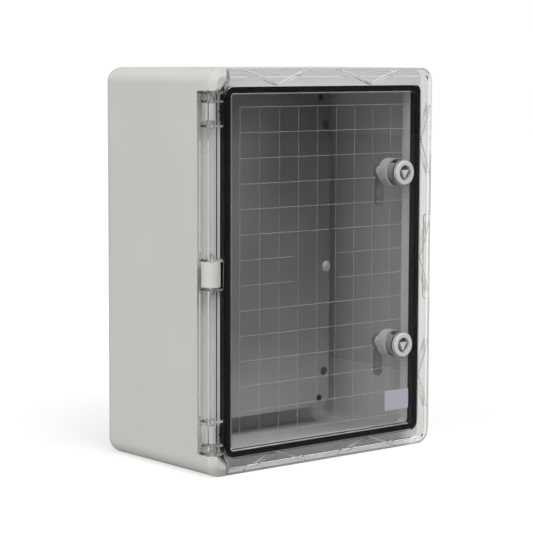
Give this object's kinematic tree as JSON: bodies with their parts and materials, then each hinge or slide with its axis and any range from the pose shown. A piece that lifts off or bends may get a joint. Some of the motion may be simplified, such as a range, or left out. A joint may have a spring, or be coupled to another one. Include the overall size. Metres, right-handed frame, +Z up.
{
  "type": "electrical cabinet",
  "caption": "Wall-mounting plastic cabinet: grey moulded base, clear hinged door with rubber gasket and quarter-turn key locks, and a steel mounting plate inside.",
  "frame": {"origin": "under the middle of the whole box", "axes": "+X right, +Y towards the wall, +Z up; the door faces -Y"},
  "size_m": [0.3, 0.1944, 0.4],
  "materials": {
    "body_abs": "fine matt moulding",
    "clear_pc": "clear polished",
    "seal_rubber": "soft black foam rubber",
    "lock_plastic": "satin moulding",
    "plate_steel": "galvanised grey",
    "cam_zinc": "zinc plated",
    "screw_zinc": "zinc plated",
    "screw_black": "black oxide",
    "pin_steel": "bright steel"
  },
  "bodies": {
    "base": {"base_shell": "body_abs", "mounting_plate": "plate_steel", "plate_screws": "screw_black", "hinge_pin_top": "pin_steel", "hinge_pin_middle": "pin_steel", "hinge_pin_bottom": "pin_steel"},
    "door": {"door_panel": "clear_pc", "door_gasket": "seal_rubber", "lock_housing_upper": "lock_plastic", "lock_seal_upper": "seal_rubber", "lock_nut_upper": "lock_plastic", "lock_housing_lower": "lock_plastic", "lock_seal_lower": "seal_rubber", "lock_nut_lower": "lock_plastic"},
    "lock_upper": {"lock_barrel_upper": "lock_plastic", "lock_cam_upper": "cam_zinc", "lock_cam_screw_upper": "screw_zinc"},
    "lock_lower": {"lock_barrel_lower": "lock_plastic", "lock_cam_lower": "cam_zinc", "lock_cam_screw_lower": "screw_zinc"}
  },
  "joints": [
    {"name": "door_hinge", "type": "hinge", "parent": "base", "child": "door", "pos_m": [-0.1405, -0.07175, 0.2], "axis": [0, 0, -1], "range_deg": [0, 120]},
    {"name": "lock_upper_turn", "type": "hinge", "parent": "door", "child": "lock_upper", "pos_m": [0.095, -0.08375, 0.292], "axis": [0, -1, 0], "range_deg": [0, 90]},
    {"name": "lock_lower_turn", "type": "hinge", "parent": "door", "child": "lock_lower", "pos_m": [0.095, -0.08375, 0.112], "axis": [0, -1, 0], "range_deg": [0, 90]}
  ]
}
